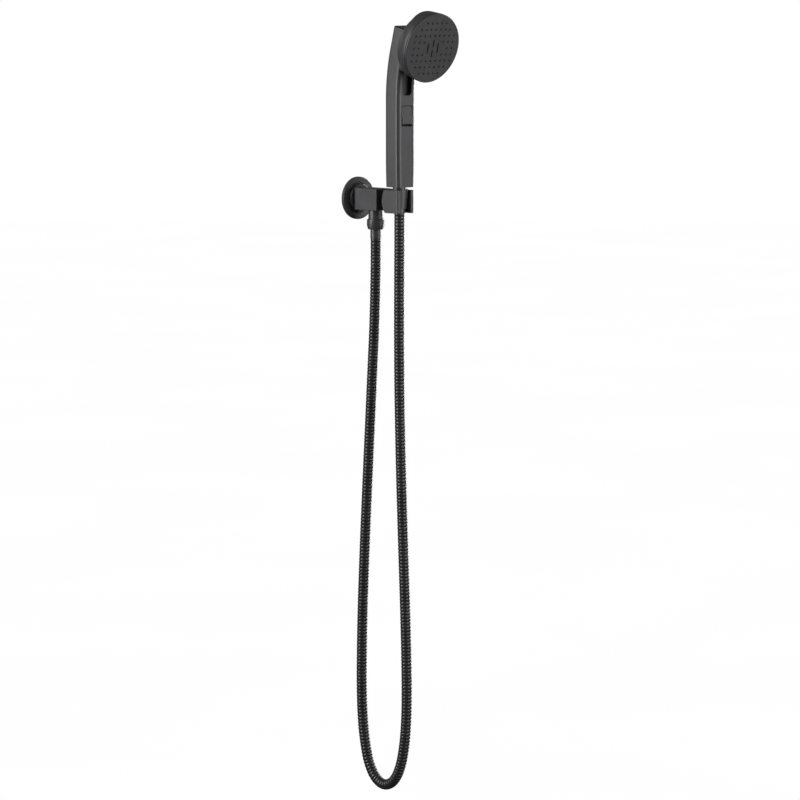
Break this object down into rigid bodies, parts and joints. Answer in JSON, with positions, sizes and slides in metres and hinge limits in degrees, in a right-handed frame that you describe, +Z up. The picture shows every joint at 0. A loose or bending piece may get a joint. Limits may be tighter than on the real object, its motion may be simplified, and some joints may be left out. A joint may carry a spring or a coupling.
{
  "type": "handheld shower set",
  "caption": "Wall-hung handheld shower: round head on a curved handle, square tilting cradle on a square wall arm, and a ribbed metal hose in a hanging loop.",
  "frame": {"origin": "centre of the wall flange's back face, at the mouth of the inlet thread", "axes": "+Z up; the wall is the plane y = 0 and the set stands out along -Y; +Y points into the wall; +X is to the right when facing the wall"},
  "size_m": [0.1, 0.1701, 1.1254],
  "materials": {
    "black": "satin powder-coated black",
    "black_metal": "satin powder-coated black",
    "hose_black": "satin black over wound metal strip",
    "dark_plastic": "matte",
    "rubber": "matte",
    "brass": "machined",
    "steel": "machined",
    "white_plastic": "moulded",
    "smoke_plastic": "moulded"
  },
  "bodies": {
    "wall_unit": {"wall_flange": "black_metal", "flange_gasket": "rubber", "flange_o_ring": "rubber", "supply_arm": "black_metal", "outlet_nipple": "black_metal", "check_valve": "white_plastic", "wall_hose_washer": "rubber", "wall_hose_barb": "brass", "wall_hose_nut": "black_metal", "wall_hose_sleeve": "black_metal", "hose": "hose_black"},
    "cradle_unit": {"cradle": "black", "cradle_liner": "dark_plastic", "pivot_screw": "steel", "pivot_nut": "steel", "friction_washers": "dark_plastic"},
    "hose_end": {"handset_hose_barb": "brass", "handset_hose_washer": "rubber", "handset_hose_sleeve": "black_metal"},
    "handset": {"cone_nut": "black_metal", "inlet_stub": "black_metal", "inlet_filter": "steel", "flow_regulator": "white_plastic", "lower_water_tube": "white_plastic", "valve_body": "white_plastic", "upper_water_tube": "white_plastic", "tube_seals": "rubber", "handle_shell": "black", "front_plate": "black", "recess_liner": "dark_plastic", "head_housing": "black", "diffuser_plate": "smoke_plastic", "nozzle_mat": "rubber", "face_seal": "rubber", "spray_face": "black", "rocker_axle": "steel"},
    "rocker": {"rocker_button": "black"},
    "selector": {"selector_spool": "white_plastic", "spool_seals": "rubber"}
  },
  "joints": [
    {"name": "cradle_tilt", "type": "hinge", "parent": "wall_unit", "child": "cradle_unit", "pos_m": [0, -0.0636, 0], "axis": [1, 0, 0], "range_deg": [-15, 10], "deforming": ["hose"]},
    {"name": "handset_lift", "type": "slide", "parent": "cradle_unit", "child": "hose_end", "axis": [0, 0, 1], "range_m": [0, 0.03]},
    {"name": "handset_swivel", "type": "hinge", "parent": "hose_end", "child": "handset", "pos_m": [0, -0.0893, 0], "axis": [0, 0, 1], "continuous": true},
    {"name": "rocker_press", "type": "hinge", "parent": "handset", "child": "rocker", "pos_m": [0, -0.0985, 0.1208], "axis": [1, 0, 0], "range_deg": [0, 10]},
    {"name": "spool_slide", "type": "slide", "parent": "handset", "child": "selector", "axis": [0, 0, 1], "range_m": [0, 0.002]}
  ],
  "couplings": [
    {"joint": "spool_slide", "follows": "rocker_press", "m_per_rad": 0.0083}
  ]
}
